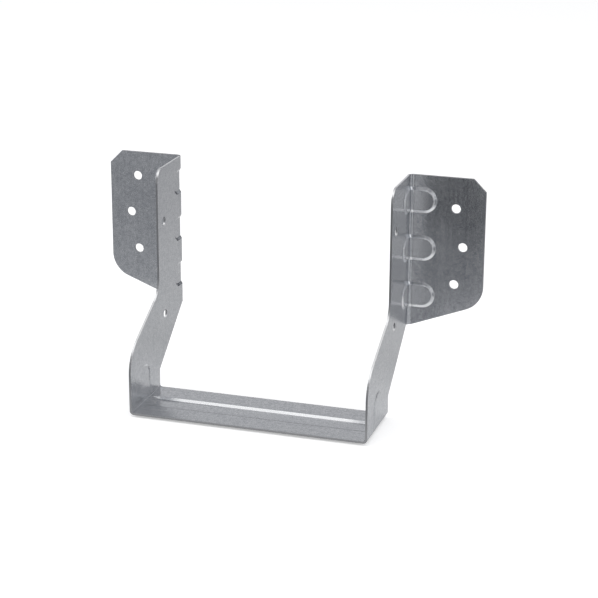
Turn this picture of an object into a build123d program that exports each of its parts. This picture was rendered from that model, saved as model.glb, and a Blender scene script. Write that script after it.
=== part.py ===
from build123d import *
from math import radians, tan
import os

os.makedirs("parts", exist_ok=True)

# X runs along the beam seat's width, Y points back to the supporting timber and Z is up.
# The backs of both flanges lie on Y = 0 and the underside of the seat on Z = 0.

# Sheet and bends
sheet = 1.2
seat_bend = 1.2
flange_bend = 2.3
seat_bend_outer = seat_bend + sheet
flange_bend_outer = flange_bend + sheet

# Pocket for the beam
inside_width = 140
height = 134
inner_x = inside_width / 2
outer_x = inner_x + sheet
bend_x = inner_x + flange_bend_outer

# Side outline of a leg: depths run forward from the backs of the flanges
upper_depth = 41
seat_back = 42.5
seat_front = 88
back_low_z = 12.2
flange_base = 42.5
front_low_z = 35.9
front_high_z = 60.6
front_low_radius = 20
front_high_radius = 14
leg_top_radius = 8

# Flange outline: the foot of the flange rises outward from the bend
flange_width = 46
flange_slope = 21
flange_corner_cut = 7.5
flange_corner_radius = 15
flange_x = inner_x + flange_width
flange_low_z = flange_base + (flange_x - bend_x) * tan(radians(flange_slope))

# Fixing holes: the left side's rows stand at other heights than the right side's
hole = 5.5
row_inset = 17.4
middle_inset = 12.8
flange_pitch = 22.9
flange_drop_left = 14.8
flange_drop_right = 18.6
leg_hole_depth = 32
leg_pitch = 57.4
leg_drop_left = 32.8
leg_drop_right = 26.2
row_x = flange_x - row_inset
middle_x = flange_x - middle_inset
flange_left_z = height - flange_drop_left
flange_right_z = height - flange_drop_right
leg_left_z = height - leg_drop_left
leg_right_z = height - leg_drop_right

# Gussets: round-ended pressings across each flange bend, hollow at the back
gusset_width = 15.4
gusset_rise = 0.9
gusset_wall = 28
gusset_crest = 2.2
gusset_flange_reach = 16.1
gusset_leg_reach = 14.3
gusset_drop = 15
gusset_pitch = 28.8
gusset_top_z = height - gusset_drop
gusset_flange_x = outer_x + gusset_flange_reach - gusset_width / 2
gusset_leg_y = gusset_width / 2 - gusset_leg_reach - sheet

# Bead across the seat, hollow at the top, which runs out just inside the bends
bead_width = 16.2
bead_rise = 1.3
bead_wall = 50
bead_crest = 1.4
bead_inset = 22.2
bead_margin = 1.5
bead_runout = 4.5
bead_runout_radius = 4
bead_sink = 1.5
bead_y = bead_inset - seat_front
bead_foot_x = inner_x - bead_margin

# The same bead on the legs, where the bend has flattened it to a low round-ended swelling
swelling_rise = 0.45
swelling_wall = 24
swelling_crest = 2.5
swelling_sink = 0.6
swelling_lead = 3
swelling_lean_radius = 50
swelling_top = 23.2
swelling_end_z = swelling_top - bead_width / 2


# Half the cross-section of a pressing, with X across it and Y away from the sheet.
# Its wall leans at the same angle on the raised face (face = 0) and on the hollow face
# (face = -sheet), and the hollow one is set in so that the wall stays one sheet thick.
def half_outline(width, rise, wall, crest_radius, face):
    foot_x = width / 2 + face * tan(radians(wall / 2))
    crest_x = foot_x - rise / tan(radians(wall))
    base = face - sheet / 4
    FilletPolyline(
        (0, base),
        (0, face + rise),
        (crest_x, face + rise),
        (foot_x, face),
        (foot_x, base),
        radius=[0, 0, crest_radius, 0, 0],
        close=True,
    )


# A pressing that follows a line of the sheet, with a half round at each of its round ends.
# The start and end planes have their Y away from the sheet and their Z into the pressing.
def pressing(line, start, round_ends, width, rise, wall, crest_radius, face):
    with BuildPart() as body:
        with BuildSketch(start):
            with BuildLine():
                half_outline(width, rise, wall, crest_radius, face)
            make_face()
            mirror(about=Plane.YZ)
        sweep(path=line)
        for end in round_ends:
            with BuildSketch(end):
                with BuildLine():
                    half_outline(width, rise, wall, crest_radius, face)
                make_face()
            revolve(axis=Axis(end.origin, end.y_dir), revolution_arc=180)
    return body.part


# Right half: half the seat, the leg, the bend and the flange
with BuildPart() as flange:
    with BuildSketch(Plane.XY.offset(flange_base)):
        with BuildLine():
            convex = JernArc((bend_x, 0), (-1, 0), flange_bend_outer, 90)
            rim = Line(convex @ 1, (outer_x, -flange_bend_outer))
            concave = JernArc(rim @ 1, (0, 1), flange_bend, -90)
            Polyline(concave @ 1, (flange_x, -sheet), (flange_x, 0), (bend_x, 0))
        make_face()
    extrude(amount=height - flange_base)
    with BuildSketch(Plane.XZ):
        with BuildLine():
            FilletPolyline(
                (inner_x, flange_base),
                (bend_x, flange_base),
                (flange_x, flange_low_z),
                (flange_x, height - flange_corner_cut),
                (flange_x - flange_corner_cut, height),
                (inner_x, height),
                radius=[0, 0, flange_corner_radius, 0, 0, 0],
                close=True,
            )
        make_face()
    extrude(amount=flange_bend_outer, mode=Mode.INTERSECT)

with BuildPart() as leg:
    with BuildSketch(Plane.XZ.offset(flange_bend_outer)):
        with BuildLine():
            outside = FilletPolyline((0, 0), (outer_x, 0), (outer_x, height), radius=seat_bend_outer)
            inside = FilletPolyline((0, sheet), (inner_x, sheet), (inner_x, height), radius=seat_bend)
            Line(outside @ 0, inside @ 0)
            Line(outside @ 1, inside @ 1)
        make_face()
    extrude(amount=seat_front - flange_bend_outer)
    with BuildSketch(Plane.YZ):
        with BuildLine():
            FilletPolyline(
                (-seat_back, 0),
                (-seat_back, back_low_z),
                (-flange_bend_outer, flange_base),
                (-flange_bend_outer, height),
                (-upper_depth, height),
                (-upper_depth, front_high_z),
                (-seat_front, front_low_z),
                (-seat_front, 0),
                radius=[0, 0, 0, 0, leg_top_radius, front_high_radius, front_low_radius, 0],
                close=True,
            )
        make_face()
    extrude(amount=outer_x, mode=Mode.INTERSECT)

# Gusset, made once at mid-height and set three times down the bend
with BuildLine() as gusset_line:
    FilletPolyline(
        (gusset_flange_x, -sheet), (outer_x, -sheet), (outer_x, gusset_leg_y), radius=flange_bend
    )
gusset_ends = [
    Plane((gusset_flange_x, -sheet, 0), x_dir=(0, 0, -1), z_dir=(-1, 0, 0)),
    Plane((outer_x, gusset_leg_y, 0), x_dir=(0, 0, 1), z_dir=(0, 1, 0)),
]
gusset_course = (gusset_line.line, gusset_ends[0], gusset_ends)
gusset_shape = (gusset_width, gusset_rise, gusset_wall)
gusset_ridge = pressing(*gusset_course, *gusset_shape, gusset_crest, 0)
gusset_dent = pressing(*gusset_course, *gusset_shape, 0, -sheet)

# Bead, drawn on the underside of the seat. At its ends the line climbs, so that the bead sinks
# into the sheet, and the ridge is cut off inside the sheet's thickness.
with BuildLine(Plane.XZ.offset(-bead_y)) as bead_line:
    FilletPolyline(
        (-bead_foot_x, bead_sink),
        (bead_runout - bead_foot_x, 0),
        (bead_foot_x - bead_runout, 0),
        (bead_foot_x, bead_sink),
        radius=bead_runout_radius,
    )
bead_start = Plane(bead_line.line @ 0, x_dir=(0, -1, 0), z_dir=bead_line.line % 0)
bead_course = (bead_line.line, bead_start, [])
bead_shape = (bead_width, bead_rise, bead_wall)
with BuildPart() as bead_ridge:
    add(pressing(*bead_course, *bead_shape, bead_crest, 0))
    split(bisect_by=Plane.XY.offset(sheet / 2), keep=Keep.BOTTOM)
bead_dent = pressing(*bead_course, *bead_shape, 0, -sheet)

# Swelling on the right leg: its line leans into the sheet from below the round top to the bend
with BuildLine(Plane.XZ.offset(-bead_y)) as swelling_line:
    FilletPolyline(
        (outer_x, swelling_end_z),
        (outer_x, swelling_end_z - swelling_lead),
        (outer_x - swelling_sink, seat_bend_outer),
        radius=swelling_lean_radius,
    )
swelling_end = Plane((outer_x, bead_y, swelling_end_z), x_dir=(0, 1, 0), z_dir=(0, 0, -1))
swelling_course = (swelling_line.line, swelling_end, [swelling_end])
swelling_shape = (bead_width, swelling_rise, swelling_wall)
swelling_ridge = pressing(*swelling_course, *swelling_shape, swelling_crest, 0)
swelling_dent = pressing(*swelling_course, *swelling_shape, 0, -sheet)

with BuildPart() as beam_hanger:
    add(flange.part)
    add(leg.part)
    with Locations([(0, 0, gusset_top_z - step * gusset_pitch) for step in range(3)]):
        add(gusset_ridge)
        add(gusset_dent, mode=Mode.SUBTRACT)
    add(swelling_ridge)
    add(swelling_dent, mode=Mode.SUBTRACT)
    mirror(about=Plane.YZ)
    add(bead_ridge.part)
    add(bead_dent, mode=Mode.SUBTRACT)

    # Holes through the flanges
    with BuildSketch(Plane.XZ.offset(-sheet)):
        with Locations(
            (-row_x, flange_left_z),
            (-middle_x, flange_left_z - flange_pitch),
            (-row_x, flange_left_z - 2 * flange_pitch),
            (row_x, flange_right_z),
            (middle_x, flange_right_z - flange_pitch),
            (row_x, flange_right_z - 2 * flange_pitch),
        ):
            Circle(hole / 2)
    extrude(amount=3 * sheet, mode=Mode.SUBTRACT)

    # Holes through the legs
    with BuildSketch(Plane.YZ):
        with Locations((-leg_hole_depth, leg_right_z), (-leg_hole_depth, leg_right_z - leg_pitch)):
            Circle(hole / 2)
    extrude(amount=bend_x, mode=Mode.SUBTRACT)
    with BuildSketch(Plane.YZ):
        with Locations((-leg_hole_depth, leg_left_z), (-leg_hole_depth, leg_left_z - leg_pitch)):
            Circle(hole / 2)
    extrude(amount=-bend_x, mode=Mode.SUBTRACT)

beam_hanger.part.label = "beam_hanger"
export_step(beam_hanger.part, "parts/beam_hanger.step")
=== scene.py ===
from math import cos, pi, radians, sin
from types import SimpleNamespace

import bpy
from mathutils import Matrix, Vector


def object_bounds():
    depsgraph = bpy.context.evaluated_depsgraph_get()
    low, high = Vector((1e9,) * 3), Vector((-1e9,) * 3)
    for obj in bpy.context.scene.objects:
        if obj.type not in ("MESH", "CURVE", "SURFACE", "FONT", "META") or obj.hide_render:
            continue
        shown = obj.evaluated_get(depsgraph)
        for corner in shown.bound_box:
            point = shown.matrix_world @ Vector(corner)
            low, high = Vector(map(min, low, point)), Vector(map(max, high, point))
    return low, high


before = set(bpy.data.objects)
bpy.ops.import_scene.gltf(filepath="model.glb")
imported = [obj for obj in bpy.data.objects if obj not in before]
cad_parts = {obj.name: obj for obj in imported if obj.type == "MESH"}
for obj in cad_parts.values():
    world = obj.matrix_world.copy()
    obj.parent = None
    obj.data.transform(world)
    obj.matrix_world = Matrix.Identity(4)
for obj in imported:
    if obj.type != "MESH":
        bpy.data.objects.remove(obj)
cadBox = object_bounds()
print("frame loaded")

lowest = cadBox[0][2]
highest = cadBox[1][2]
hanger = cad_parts["beam_hanger"]


class Socket:
    # wraps one output of a node tree, so that masks and patterns read as plain sums
    def __init__(self, tree, socket=None):
        self.tree = tree
        self.socket = socket

    def node(self, kind, settings=None, inputs=None, out=0):
        made = self.tree.nodes.new("ShaderNode" + kind)
        for name, value in (settings or {}).items():
            setattr(made, name, value)
        for name, value in (inputs or {}).items():
            if isinstance(value, Socket):
                self.tree.links.new(value.socket, made.inputs[name])
            else:
                made.inputs[name].default_value = value
        return Socket(self.tree, made.outputs[out]) if made.outputs else None

    def beside(self, name):
        # another output of the same node
        return Socket(self.tree, self.socket.node.outputs[name])

    def math(self, operation, *values):
        return self.node("Math", {"operation": operation}, dict(enumerate(values)))

    def __add__(self, other):
        return self.math("ADD", self, other)

    def __radd__(self, other):
        return self.math("ADD", other, self)

    def __sub__(self, other):
        return self.math("SUBTRACT", self, other)

    def __rsub__(self, other):
        return self.math("SUBTRACT", other, self)

    def __mul__(self, other):
        return self.math("MULTIPLY", self, other)

    def __rmul__(self, other):
        return self.math("MULTIPLY", other, self)

    def __truediv__(self, other):
        return self.math("DIVIDE", self, other)

    def __rtruediv__(self, other):
        return self.math("DIVIDE", other, self)

    def __neg__(self):
        return self.math("MULTIPLY", self, -1.0)

    def __abs__(self):
        return self.math("ABSOLUTE", self)

    def atLeast(self, floor):
        return self.math("MAXIMUM", self, floor)

    def squareRoot(self):
        return self.math("SQRT", self)

    def fraction(self):
        return self.math("FRACT", self)

    def rises(self, low, high):
        # 0 below low, 1 above high, with a smooth rise between
        return self.node("MapRange", {"interpolation_type": "SMOOTHSTEP"},
                         {"Value": self, "From Min": low, "From Max": high})

    def falls(self, low, high):
        return 1.0 - self.rises(low, high)

    def split(self):
        x = self.node("SeparateXYZ", inputs={"Vector": self}, out="X")
        return x, x.beside("Y"), x.beside("Z")

    def vector(self, x, y, z):
        return self.node("CombineXYZ", inputs={"X": x, "Y": y, "Z": z})

    def noise(self, scale, detail, rough):
        return self.node("TexNoise", inputs={
            "Vector": self, "Scale": scale, "Detail": detail, "Roughness": rough})

    def blend(self, low, high):
        # colour low where this mask is 0, colour high where it is 1: a Mix node
        # keeps its two colours in sockets 6 and 7, and the result in output 2
        return self.node("Mix", {"data_type": "RGBA"}, {"Factor": self, 6: low, 7: high}, out=2)


def newMaterial(name):
    material = bpy.data.materials.new(name)
    material.use_nodes = True
    material.node_tree.nodes.clear()
    return material, Socket(material.node_tree)


def finishMaterial(start, shader):
    start.node("OutputMaterial", inputs={"Surface": shader})


# galvanised sheet

# A pair is the start and the end of a soft change. Places are in metres from the middle
# plane (X), the flange backs (Y) and the seat's underside (Z); a lean is a part of the normal.
sheetLook = {
    "darkZinc": (0.360, 0.374, 0.400, 1.0),
    "brightZinc": (0.665, 0.672, 0.686, 1.0),
    "highlightZinc": (0.820, 0.826, 0.840, 1.0),  # painted highlight on the walls of the pressings and the bead
    "cutSteel": (0.300, 0.303, 0.312, 1.0),
    "cutTopHighlight": (0.760, 0.763, 0.772, 1.0),       # painted highlight on the upward-facing cut edges of the legs
    "rimShade": (0.150, 0.158, 0.175, 1.0),      # painted shade along the crease at the bead's front rim

    # the sheet and its folds, with their outer radii
    "sheet": 0.0012,
    "insideWidth": 0.140,
    "seatBend": 0.0024,
    "flangeBend": 0.0035,
    "foldFade": 0.001,             # over which a fold's look fades into the flat
    "flangeSnap": 0.00001,         # half the width of the change from leg to flange
    "leastDepth": 0.0001,          # keeps a division away from 0
    "cutLean": (0.28, 0.36),       # a cut edge has less of its normal than this through the sheet
    "cutTopLean": (0.3, 0.7),      # and an upper edge has more than this upward

    # gussets across the flange folds
    "gussetWidth": 0.0154,
    "gussetReach": 0.0161,         # from the leg's outer face to the round end on the flange
    "gussetCrest": 0.0057,         # half the width of the crest
    "crestFade": 0.0008,
    "gussetDrop": 0.015,
    "gussetPitch": 0.0288,
    "gussetsFromZ": (0.046, 0.050),
    "legEndsY": (-0.007, -0.005),  # their round ends on the legs
    "cornerY": (-0.0055, -0.0045),  # where they cross the corner of the fold
    "cornerX": (0.0738, 0.0748),

    # bead on the seat, and the hollow that it leaves low on each leg
    "beadEndX": (0.050, 0.062),
    "beadLean": (0.2, 0.4),
    "hollowFootZ": (0.004, 0.006),
    "hollowTopZ": (0.030, 0.032),
    # where the painted shade along the crease at the bead's front rim lies
    "rimShadeY": -0.0734,
    "rimShadeHalf": (0.00018, 0.00045),
    "rimShadeEndX": (0.0645, 0.0665),
    "rimShadeFromZ": (0.0009, 0.0011),

    # leaning walls, and the side of the sheet that they are on
    "leanAcross": (0.15, 0.4),
    "leanAlong": (0.1, 0.35),
    "frontShare": 0.1,             # how much facing forward counts as facing outward
    "outsideFrom": (0.0, 0.02),
    "insideFrom": (0.03, 0.05),
    "insideEndX": (0.0720, 0.0728),
    "foldLean": (0.2, 0.4),

    # how strong the painted highlight on the walls is, and how strong the painted shade at the
    # folds and dents
    "upperWallHighlight": 0.2,
    "hollowHighlight": 0.7,
    "crestHighlight": 0.4,
    "foldShade": 0.25,
    "dentShade": 0.8,

    # patterns in the zinc: scale, detail and roughness of each noise, and its part in the tone
    "streaksAcross": 620.0,        # rolling marks per metre across the strip
    "streaksAlong": 9.0,
    "streaksAside": 4.0,           # keeps the marks of the two sides apart
    "streakNoise": (1.0, 4.0, 0.6),
    "cloudNoise": (30.0, 4.0, 0.55),
    "grainNoise": (1400.0, 2.0, 0.7),
    "speckleNoise": (490.0, 3.0, 0.7),
    "streakTone": 0.22,
    "cloudTone": 0.22,
    "grainTone": 0.9,
    "speckleTone": 0.7,
    "toneSpan": (0.1, 0.9),

    "roughness": 0.23,
    "cloudSwing": 0.10,            # how far the clouds and streaks move the roughness
    "streakSwing": 0.05,
    "cutRoughness": 0.36,
    "bumpDepth": 0.000025,
    "streakHeight": 0.5,
    "grainHeight": 0.6,
    "edgeRadius": 0.0003,
    "edgeSamples": 6,
}

middleToInner = sheetLook["insideWidth"] / 2
middleToOuter = middleToInner + sheetLook["sheet"]
seatFoldX = middleToOuter - sheetLook["seatBend"]
seatFoldZ = sheetLook["seatBend"]
flangeFoldX = middleToInner + sheetLook["flangeBend"]
flangeFoldY = -sheetLook["flangeBend"]
gussetEndX = middleToOuter + sheetLook["gussetReach"] - sheetLook["gussetWidth"] / 2
topGussetZ = highest - sheetLook["gussetDrop"]


def readSurface(start, look):
    # where a point of the sheet lies, which way its face points and whether it is on a flange
    place = start.node("TexCoord", out="Object")
    sideX, y, z = place.split()
    normalX, normalY, normalZ = start.node("NewGeometry", out="True Normal").split()
    onFlange = y.rises(flangeFoldY - look["flangeSnap"], flangeFoldY + look["flangeSnap"])
    return SimpleNamespace(
        place=place, sideX=sideX, x=abs(sideX), y=y, z=z, onFlange=onFlange,
        normalX=normalX, normalY=normalY, normalZ=normalZ)


def markCutEdges(at, look):
    # the way through the sheet: up through the seat, outward through a leg, back through a flange
    outOfLeg = (at.x - seatFoldX).atLeast(0.0) * (1.0 - at.onFlange)
    outward = outOfLeg + (flangeFoldX - at.x).atLeast(0.0) * at.onFlange
    backward = (at.y - flangeFoldY).atLeast(0.0)
    upward = (seatFoldZ - at.z).atLeast(0.0)
    through = (outward * outward + backward * backward + upward * upward).squareRoot()
    alongNormal = abs(at.normalX) * outward + abs(at.normalY) * backward + abs(at.normalZ) * upward
    return (alongNormal / through.atLeast(look["leastDepth"])).falls(*look["cutLean"])


def markPressings(at, look):
    # leaning walls, and the side of the sheet that they are on
    leanAcross = abs(at.normalY).rises(*look["leanAcross"])
    leanUp = at.normalZ.rises(*look["leanAlong"])
    leanDown = (-at.normalZ).rises(*look["leanAlong"])
    outside = at.normalX * at.sideX - at.normalY * look["frontShare"]
    outside = outside.rises(*look["outsideFrom"])
    inside = (at.normalX * -at.sideX).rises(*look["insideFrom"]) * at.x.falls(*look["insideEndX"])
    upper = at.z.rises(*look["gussetsFromZ"])
    pastFold = at.x.rises(flangeFoldX, flangeFoldX + look["foldFade"])

    # painted shade where the sheet turns at a fold, low in the gussets' hollows, and where
    # the gussets cross the corner
    flangeFold = at.onFlange * (1.0 - pastFold) * at.normalY * at.normalY
    seatFold = at.z.falls(seatFoldZ, seatFoldZ + look["foldFade"]) * abs(at.normalZ)
    turned = (abs(at.normalX) * (flangeFold + seatFold)).rises(*look["foldLean"])
    crossing = outside * at.y.rises(*look["cornerY"]) * at.x.falls(*look["cornerX"])
    dent = (inside + crossing) * leanUp * upper
    paintedShade = turned * look["foldShade"] + dent * look["dentShade"]

    # and a painted highlight on the walls of the gussets, the hollows and the bead and, less, on
    # the crests of the gussets
    legEnd = leanAcross * at.y.falls(*look["legEndsY"])
    gusset = leanDown.atLeast(leanUp * look["upperWallHighlight"]).atLeast(legEnd) * outside * upper
    beadLean = abs(at.normalZ).rises(*look["beadLean"])
    bead = leanAcross * beadLean * at.x.falls(*look["beadEndX"])
    hollow = leanDown.atLeast(leanAcross * at.z.falls(*look["hollowTopZ"]))
    hollow = hollow * inside * at.z.rises(*look["hollowFootZ"])
    pitches = (at.z - topGussetZ) / look["gussetPitch"]
    rise = ((pitches + 0.5).fraction() - 0.5) * look["gussetPitch"]
    reach = (at.x - gussetEndX).atLeast(0.0)
    fromMiddle = (reach * reach + rise * rise).squareRoot()
    crest = fromMiddle.falls(look["gussetCrest"] - look["crestFade"], look["gussetCrest"])
    crest = crest * outside * upper * pastFold
    paintedHighlight = gusset.atLeast(bead)
    paintedHighlight = paintedHighlight.atLeast(hollow * look["hollowHighlight"]).atLeast(crest * look["crestHighlight"])
    return paintedHighlight, paintedShade


def paintRimShade(at, look):
    # painted shade: a thin dark line along the crease at the bead's front rim
    line = abs(at.y - look["rimShadeY"]).falls(*look["rimShadeHalf"])
    return line * at.x.falls(*look["rimShadeEndX"]) * at.z.rises(*look["rimShadeFromZ"])


def makeGalvanisedSheet(look):
    material, start = newMaterial("galvanised sheet")
    at = readSurface(start, look)
    cutEdge = markCutEdges(at, look)
    # masks of the painted highlight and the painted shade on the pressings
    paintedHighlight, paintedShade = markPressings(at, look)

    # the rolling marks run along the strip, which is followed round its folds
    across = (at.y + (at.x - flangeFoldX).atLeast(0.0)) * look["streaksAcross"]
    along = (at.x + at.z) * look["streaksAlong"]
    rolled = start.vector(across, along, at.sideX * look["streaksAside"])
    streaks = rolled.noise(*look["streakNoise"]) - 0.5
    cloud = at.place.noise(*look["cloudNoise"]) - 0.5
    grain = at.place.noise(*look["grainNoise"]) - 0.5
    speckle = at.place.noise(*look["speckleNoise"]) - 0.5

    tone = 0.5 + streaks * look["streakTone"] + cloud * look["cloudTone"]
    # the painted shade at the folds and in the gussets' hollows darkens the tone
    tone = tone + grain * look["grainTone"] + speckle * look["speckleTone"] - paintedShade
    zinc = tone.rises(*look["toneSpan"]).blend(look["darkZinc"], look["brightZinc"])
    # painted highlight on the walls of the pressings and the bead
    zinc = paintedHighlight.blend(zinc, look["highlightZinc"])
    # painted shade along the crease at the bead's front rim
    zinc = paintRimShade(at, look).blend(zinc, look["rimShade"])
    # painted highlight: cut edges of the legs that face upward are lighter
    cutTopHighlight = at.normalZ.rises(*look["cutTopLean"]) * (1.0 - at.onFlange)
    steel = cutTopHighlight.blend(look["cutSteel"], look["cutTopHighlight"])
    colour = cutEdge.blend(zinc, steel)

    zincRoughness = look["roughness"] + cloud * look["cloudSwing"] + streaks * look["streakSwing"]
    roughness = zincRoughness + (look["cutRoughness"] - zincRoughness) * cutEdge

    softEdge = start.node(
        "Bevel", {"samples": look["edgeSamples"]}, {"Radius": look["edgeRadius"]})
    relief = start.node("Bump", inputs={
        "Strength": 1.0, "Distance": look["bumpDepth"], "Normal": softEdge,
        "Height": streaks * look["streakHeight"] + grain * look["grainHeight"]})
    skin = start.node("BsdfPrincipled", inputs={
        "Base Color": colour, "Metallic": 1.0, "Roughness": roughness, "Normal": relief})
    finishMaterial(start, skin)
    return material


sheetMaterial = makeGalvanisedSheet(sheetLook)
for slot in hanger.material_slots:
    slot.material = sheetMaterial
print("sheet finished")


# studio

studio = {
    "floorSize": 8.0,
    "floorColour": (0.82, 0.82, 0.82, 1.0),
    "floorGlow": 0.44,
    "floorGap": 0.0001,            # keeps the floor clear of the underside of the bead
    "skyLow": (0.78, 0.785, 0.80, 1.0),
    "skyMiddle": (0.36, 0.365, 0.38, 1.0),
    "skyAbove": (0.75, 0.75, 0.75, 1.0),
    "lowToMiddle": (0.36, 0.50),   # sines of the height over the horizon
    "middleToAbove": (0.68, 0.90),
    "backdrop": (1.0, 1.0, 1.0, 1.0),
}


def seenDirectly(start):
    # camera, mirror and glass rays see the white surroundings
    camera = start.node("LightPath", out="Is Camera Ray")
    glossy = camera.beside("Is Glossy Ray")
    return camera.atLeast(glossy).atLeast(camera.beside("Is Transmission Ray"))


def makeFloor(look):
    place = (0, 0, lowest - look["floorGap"])
    bpy.ops.mesh.primitive_plane_add(size=look["floorSize"], location=place)
    floor = bpy.context.object
    floor.name = "studio floor"
    material, start = newMaterial("white floor")
    matt = start.node("BsdfDiffuse", inputs={"Color": look["floorColour"]})
    glow = start.node("Emission", inputs={
        "Color": (1, 1, 1, 1), "Strength": seenDirectly(start) * look["floorGlow"]})
    finishMaterial(start, start.node("AddShader", inputs={0: matt, 1: glow}))
    floor.data.materials.append(material)
    return floor


def makeRoom(look):
    world = bpy.data.worlds.new("studio room")
    world.use_nodes = True
    world.node_tree.nodes.clear()
    bpy.context.scene.world = world
    start = Socket(world.node_tree)
    height = start.node("TexCoord", out="Generated").split()[2]
    colour = height.rises(*look["lowToMiddle"]).blend(look["skyLow"], look["skyMiddle"])
    colour = height.rises(*look["middleToAbove"]).blend(colour, look["skyAbove"])
    colour = start.node("LightPath", out="Is Camera Ray").blend(colour, look["backdrop"])
    sky = start.node("Background", inputs={"Color": colour, "Strength": 1.0})
    start.node("OutputWorld", inputs={"Surface": sky})


# Cards that only the metal reflects, as the dark and pale parts of a studio round the table.
# A pair says where one colour of the table turns into the next, in metres along X or Y.
cards = {
    "beside": (1.0, 1.0, 1.0, 1.0),         # table under and beside the hanger
    "near": (0.76, 0.76, 0.76, 1.0),        # just behind it
    "nearY": (-0.06, 0.06),
    "behind": (0.67, 0.67, 0.675, 1.0),
    "behindY": (0.10, 0.36),
    "front": (0.37, 0.378, 0.392, 1.0),
    "frontY": (-0.15, -0.10),
    "frontRight": (0.235, 0.242, 0.255, 1.0),
    "frontRightX": (0.005, 0.035),
    "frontRightY": (-0.25, -0.18),
    "frontFar": (0.03, 0.033, 0.04, 1.0),
    "frontFarY": (-0.40, -0.285),
    "left": (0.47, 0.48, 0.495, 1.0),
    "leftX": (-0.16, -0.06),
    "leftFar": (0.383, 0.393, 0.408, 1.0),
    "leftFarY": (-0.26, -0.20),
    "right": (0.78, 0.78, 0.78, 1.0),
    "rightX": (0.085, 0.135),
    "rightGap": (0.265, 0.275, 0.29, 1.0),  # dark wedge between the right side and the front
    "gapX": 0.07,                           # its tip, and the slopes between which it opens
    "gapFrom": (0.3, 0.45),
    "gapTo": (1.0, 1.5),
    "leastRun": 0.001,                      # keeps the division away from 0
    "tableSize": (3.2, 2.6),
    "tableMiddle": 0.3,
    "tableHeight": 0.001,
    "horizon": (0.10, 0.105, 0.12, 1.0),
    "horizonDistance": 1.55,
    "horizonHeight": 0.27,
    "horizonWidth": 5.0,
}


def makeCard(name, size, place, lean, colour, material, start):
    bpy.ops.mesh.primitive_plane_add(size=1, location=place, rotation=(lean, 0, 0))
    card = bpy.context.object
    card.name = name
    card.scale = (size[0], size[1], 1)
    card.visible_camera = False
    card.visible_shadow = False
    card.visible_diffuse = False
    finishMaterial(start, start.node("BsdfDiffuse", inputs={"Color": colour}))
    card.data.materials.append(material)
    return card


def makeTableCard(look):
    material, start = newMaterial("table card")
    x, y = start.node("NewGeometry", out="Position").split()[:2]
    back = y.rises(*look["nearY"]).blend(look["beside"], look["near"])
    back = y.rises(*look["behindY"]).blend(back, look["behind"])
    frontRight = x.rises(*look["frontRightX"]) * y.falls(*look["frontRightY"])
    front = frontRight.blend(look["front"], look["frontRight"])
    front = y.falls(*look["frontFarY"]).blend(front, look["frontFar"])
    left = y.falls(*look["leftFarY"]).blend(look["left"], look["leftFar"])
    front = x.falls(*look["leftX"]).blend(front, left)
    slope = -y / (x - look["gapX"]).atLeast(look["leastRun"])
    gap = slope.rises(*look["gapFrom"]) * slope.falls(*look["gapTo"])
    right = gap.blend(look["right"], look["rightGap"])
    front = x.rises(*look["rightX"]).blend(front, right)
    colour = y.falls(*look["frontY"]).blend(back, front)
    place = (0, look["tableMiddle"], lowest + look["tableHeight"])
    return makeCard("table card", look["tableSize"], place, 0, colour, material, start)


def makeHorizonCard(look):
    material, start = newMaterial("horizon card")
    size = (look["horizonWidth"], look["horizonHeight"])
    place = (0, look["horizonDistance"], lowest + look["horizonHeight"] / 2)
    return makeCard("horizon card", size, place, pi / 2, look["horizon"], material, start)


softboxes = {
    "overhead panel": {"size": (1.4, 0.95), "power": 2.7, "at": (0.0, -0.33, 1.1)},
    "left panel": {"size": (1.2, 1.0), "power": 5.2, "at": (-1.4, -0.2, 1.0)},
    "right panel": {"size": (1.2, 1.0), "power": 5.2, "at": (1.4, -0.2, 1.0)},
}
lampAim = Vector((0, -0.05, 0.06))  # near the middle of the hanger


def makeSoftbox(name, look):
    data = bpy.data.lights.new(name, "AREA")
    data.shape = "RECTANGLE"
    data.size, data.size_y = look["size"]
    data.energy = look["power"]
    lamp = bpy.data.objects.new(name, data)
    lamp.location = look["at"]
    lamp.rotation_euler = (lampAim - lamp.location).to_track_quat("-Z", "Y").to_euler()
    bpy.context.collection.objects.link(lamp)


makeFloor(studio)
makeTableCard(cards)
makeHorizonCard(cards)
makeRoom(studio)
for name, look in softboxes.items():
    makeSoftbox(name, look)
print("studio lit")


# camera

view = {
    "azimuth": 17.25,
    "elevation": 18.31,
    "roll": 0.32,
    "distance": 1.0871,
    "sensorWidth": 36,
    "focalWidths": 3.0977,         # focal length in image widths
    "aim": (0.0, -0.05, 0.0),
    "right": 0.01839,              # how far the camera is moved aside and up from the aim
    "up": 0.0627,
}


def makeCamera(look):
    turn = radians(look["azimuth"])
    rise = radians(look["elevation"])
    lean = radians(look["roll"])
    ahead = Vector((-sin(turn) * cos(rise), cos(turn) * cos(rise), -sin(rise)))
    right = Vector((cos(turn), sin(turn), 0))
    up = right.cross(ahead)
    data = bpy.data.cameras.new("camera")
    data.sensor_width = look["sensorWidth"]
    data.lens = look["focalWidths"] * data.sensor_width
    camera = bpy.data.objects.new("camera", data)
    bpy.context.collection.objects.link(camera)
    shift = look["right"] * right + look["up"] * up
    place = Vector(look["aim"]) + shift - look["distance"] * ahead
    rolledRight = cos(lean) * right + sin(lean) * up
    rolledUp = cos(lean) * up - sin(lean) * right
    axes = Matrix((rolledRight, rolledUp, -ahead)).transposed().to_4x4()
    camera.matrix_world = Matrix.Translation(place) @ axes
    return camera


scene = bpy.context.scene
scene.camera = makeCamera(view)
scene.view_settings.view_transform = "Standard"
print("camera set")
